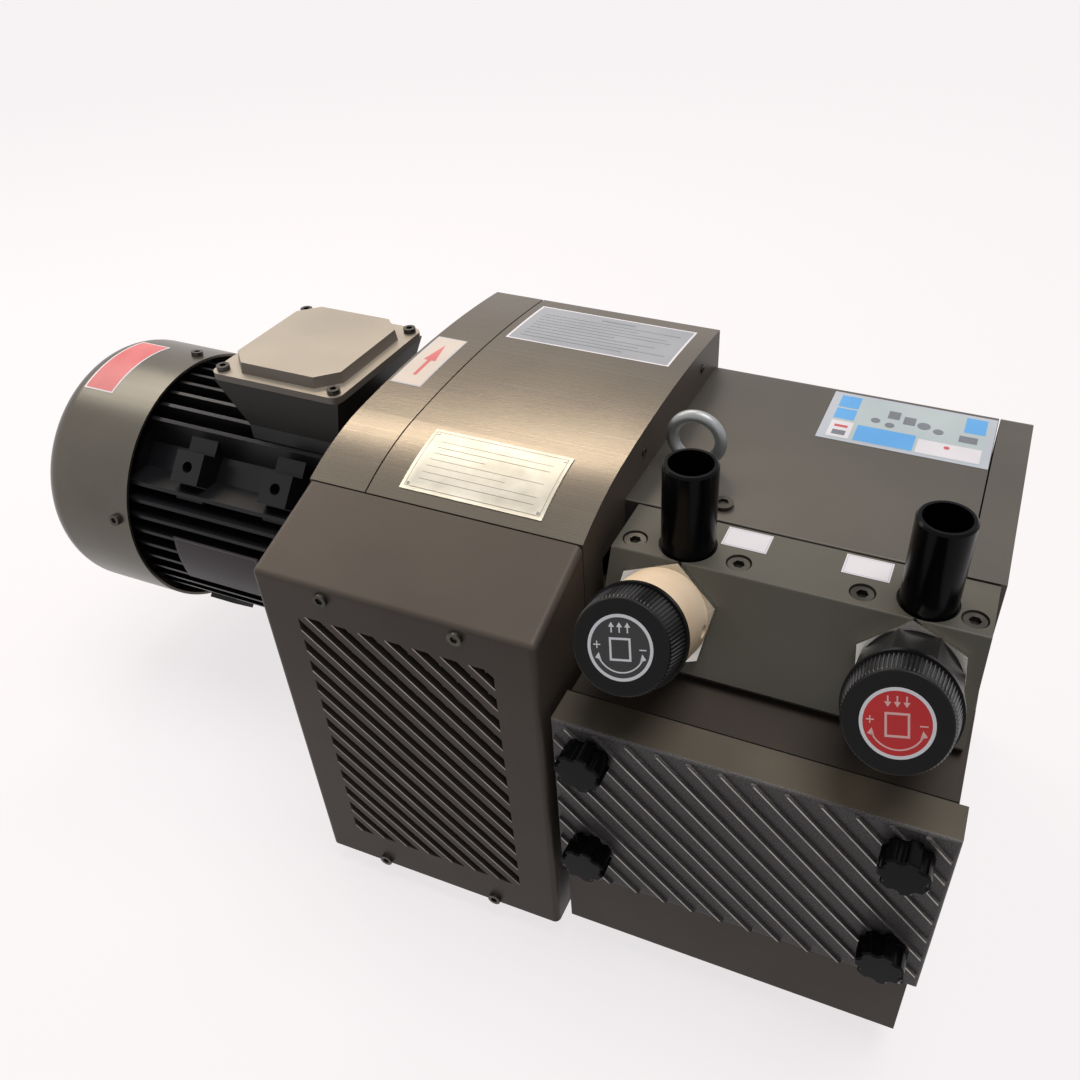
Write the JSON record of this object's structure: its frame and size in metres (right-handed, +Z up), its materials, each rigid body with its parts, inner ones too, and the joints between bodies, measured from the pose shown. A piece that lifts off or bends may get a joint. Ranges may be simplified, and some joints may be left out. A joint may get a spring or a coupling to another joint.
{
  "type": "rotary vane pressure vacuum pump",
  "caption": "Motor-driven rotary vane pump for vacuum and blown air, with arched fan casing, ribbed filter cover, two regulating valves and hose stubs.",
  "frame": {"origin": "centre of the four feet at floor level", "axes": "+X along the shafts from motor to pump end, +Y to the back, away from the grille and filter cover, +Z up"},
  "size_m": [0.7089, 0.33, 0.3456],
  "materials": {
    "bronze_paint": "satin",
    "cowl_paint": "satin",
    "black_paint": "satin",
    "box_paint": "satin",
    "lid_paint": "satin",
    "cover_paint": "fine texture",
    "cast_iron": "matt",
    "cast_aluminium": "satin",
    "steel": "satin",
    "zinc_steel": "satin",
    "bright_nut": "satin",
    "core_steel": "matt",
    "copper_winding": "gloss",
    "rubber": "matt",
    "seal_rubber": "matt",
    "gasket": "matt",
    "star_rubber": "matt",
    "black_plastic": "satin",
    "fan_plastic": "matt",
    "board_plastic": "satin",
    "cream_plastic": "satin",
    "vane_carbon": "matt",
    "filter_paper": "matt"
  },
  "bodies": {
    "casing": {"arc_hood": "bronze_paint", "ball_bearings": "steel", "bearing_cap": "cast_iron", "blow_poppet": "steel", "blow_valve_sleeve": "cream_plastic", "cable_gland": "black_plastic", "cooler": "cast_aluminium", "drive_cover": "cast_iron", "end_hood": "bronze_paint", "eye_bolt": "zinc_steel", "fan_cowl": "cowl_paint", "fan_housing": "bronze_paint", "far_cover": "cast_iron", "filter_cartridges": "filter_paper", "filter_housing": "bronze_paint", "foot_plates": "zinc_steel", "grille_hood": "bronze_paint", "hood_screws": "zinc_steel", "hood_strip": "bronze_paint", "hose_nozzles": "black_plastic", "housing_bolts": "zinc_steel", "motor_end_shield": "black_paint", "motor_flange": "black_paint", "motor_frame": "black_paint", "motor_screws": "zinc_steel", "pump_cylinder": "cast_iron", "pump_screws": "zinc_steel", "regulator_block": "bronze_paint", "rubber_feet": "rubber", "shaft_seal": "seal_rubber", "stator_core": "core_steel", "stator_windings": "copper_winding", "suction_poppet": "steel", "suction_valve_sleeve": "black_plastic", "terminal_board": "board_plastic", "terminal_box": "box_paint", "terminal_lid": "lid_paint", "top_cover": "bronze_paint", "valve_bodies": "bright_nut"},
    "motor_rotor": {"motor_shaft": "steel", "rotor_core": "core_steel", "motor_fan": "fan_plastic", "motor_coupling_hub": "cast_iron"},
    "pump_rotor": {"pump_shaft": "steel", "vane_rotor": "cast_iron", "vanes": "vane_carbon", "cooling_fan": "cast_aluminium", "pump_coupling_hub": "cast_iron", "coupling_star": "star_rubber"},
    "cover": {"filter_cover": "cover_paint", "cover_gasket": "gasket"},
    "grip_1": {"star_grip_1": "black_plastic"},
    "grip_2": {"star_grip_2": "black_plastic"},
    "grip_3": {"star_grip_3": "black_plastic"},
    "grip_4": {"star_grip_4": "black_plastic"},
    "blow_plate": {"blow_spring_plate": "steel"},
    "blow_knob": {"blow_knob": "black_plastic"},
    "suction_plate": {"suction_spring_plate": "steel"},
    "suction_knob": {"suction_knob": "black_plastic"}
  },
  "joints": [
    {"name": "motor_spin", "type": "hinge", "parent": "casing", "child": "motor_rotor", "pos_m": [-0.3, 0.0375, 0.1683], "axis": [1, 0, 0], "continuous": true},
    {"name": "pump_spin", "type": "hinge", "parent": "casing", "child": "pump_rotor", "pos_m": [0.085, 0.0375, 0.1683], "axis": [1, 0, 0], "continuous": true},
    {"name": "filter_cover_slide", "type": "slide", "parent": "casing", "child": "cover", "axis": [0, -1, 0], "range_m": [0, 0.1]},
    {"name": "blow_plate_slide", "type": "slide", "parent": "casing", "child": "blow_plate", "axis": [0, -0.9045, 0.4264], "range_m": [0, 0.006]},
    {"name": "blow_knob_turn", "type": "hinge", "parent": "blow_plate", "child": "blow_knob", "pos_m": [0.0385, -0.13193, 0.28197], "axis": [0, -0.9045, 0.4264], "range_deg": [0, 1080]},
    {"name": "suction_plate_slide", "type": "slide", "parent": "casing", "child": "suction_plate", "axis": [0, -0.9045, 0.4264], "range_m": [0, 0.006]},
    {"name": "suction_knob_turn", "type": "hinge", "parent": "suction_plate", "child": "suction_knob", "pos_m": [0.1793, -0.13193, 0.28197], "axis": [0, -0.9045, 0.4264], "range_deg": [0, 1080]},
    {"name": "grip_1_turn", "type": "hinge", "parent": "cover", "child": "grip_1", "pos_m": [0.0197, -0.1575, 0.1196], "axis": [0, -1, 0], "continuous": true},
    {"name": "grip_2_turn", "type": "hinge", "parent": "cover", "child": "grip_2", "pos_m": [0.1993, -0.1575, 0.1196], "axis": [0, -1, 0], "continuous": true},
    {"name": "grip_3_turn", "type": "hinge", "parent": "cover", "child": "grip_3", "pos_m": [0.0197, -0.1575, 0.2056], "axis": [0, -1, 0], "continuous": true},
    {"name": "grip_4_turn", "type": "hinge", "parent": "cover", "child": "grip_4", "pos_m": [0.1993, -0.1575, 0.2056], "axis": [0, -1, 0], "continuous": true}
  ],
  "couplings": [
    {"joint": "pump_spin", "follows": "motor_spin", "ratio": 1},
    {"joint": "blow_knob_turn", "follows": "blow_plate_slide", "rad_per_m": 3141.6},
    {"joint": "suction_knob_turn", "follows": "suction_plate_slide", "rad_per_m": 3141.6}
  ]
}
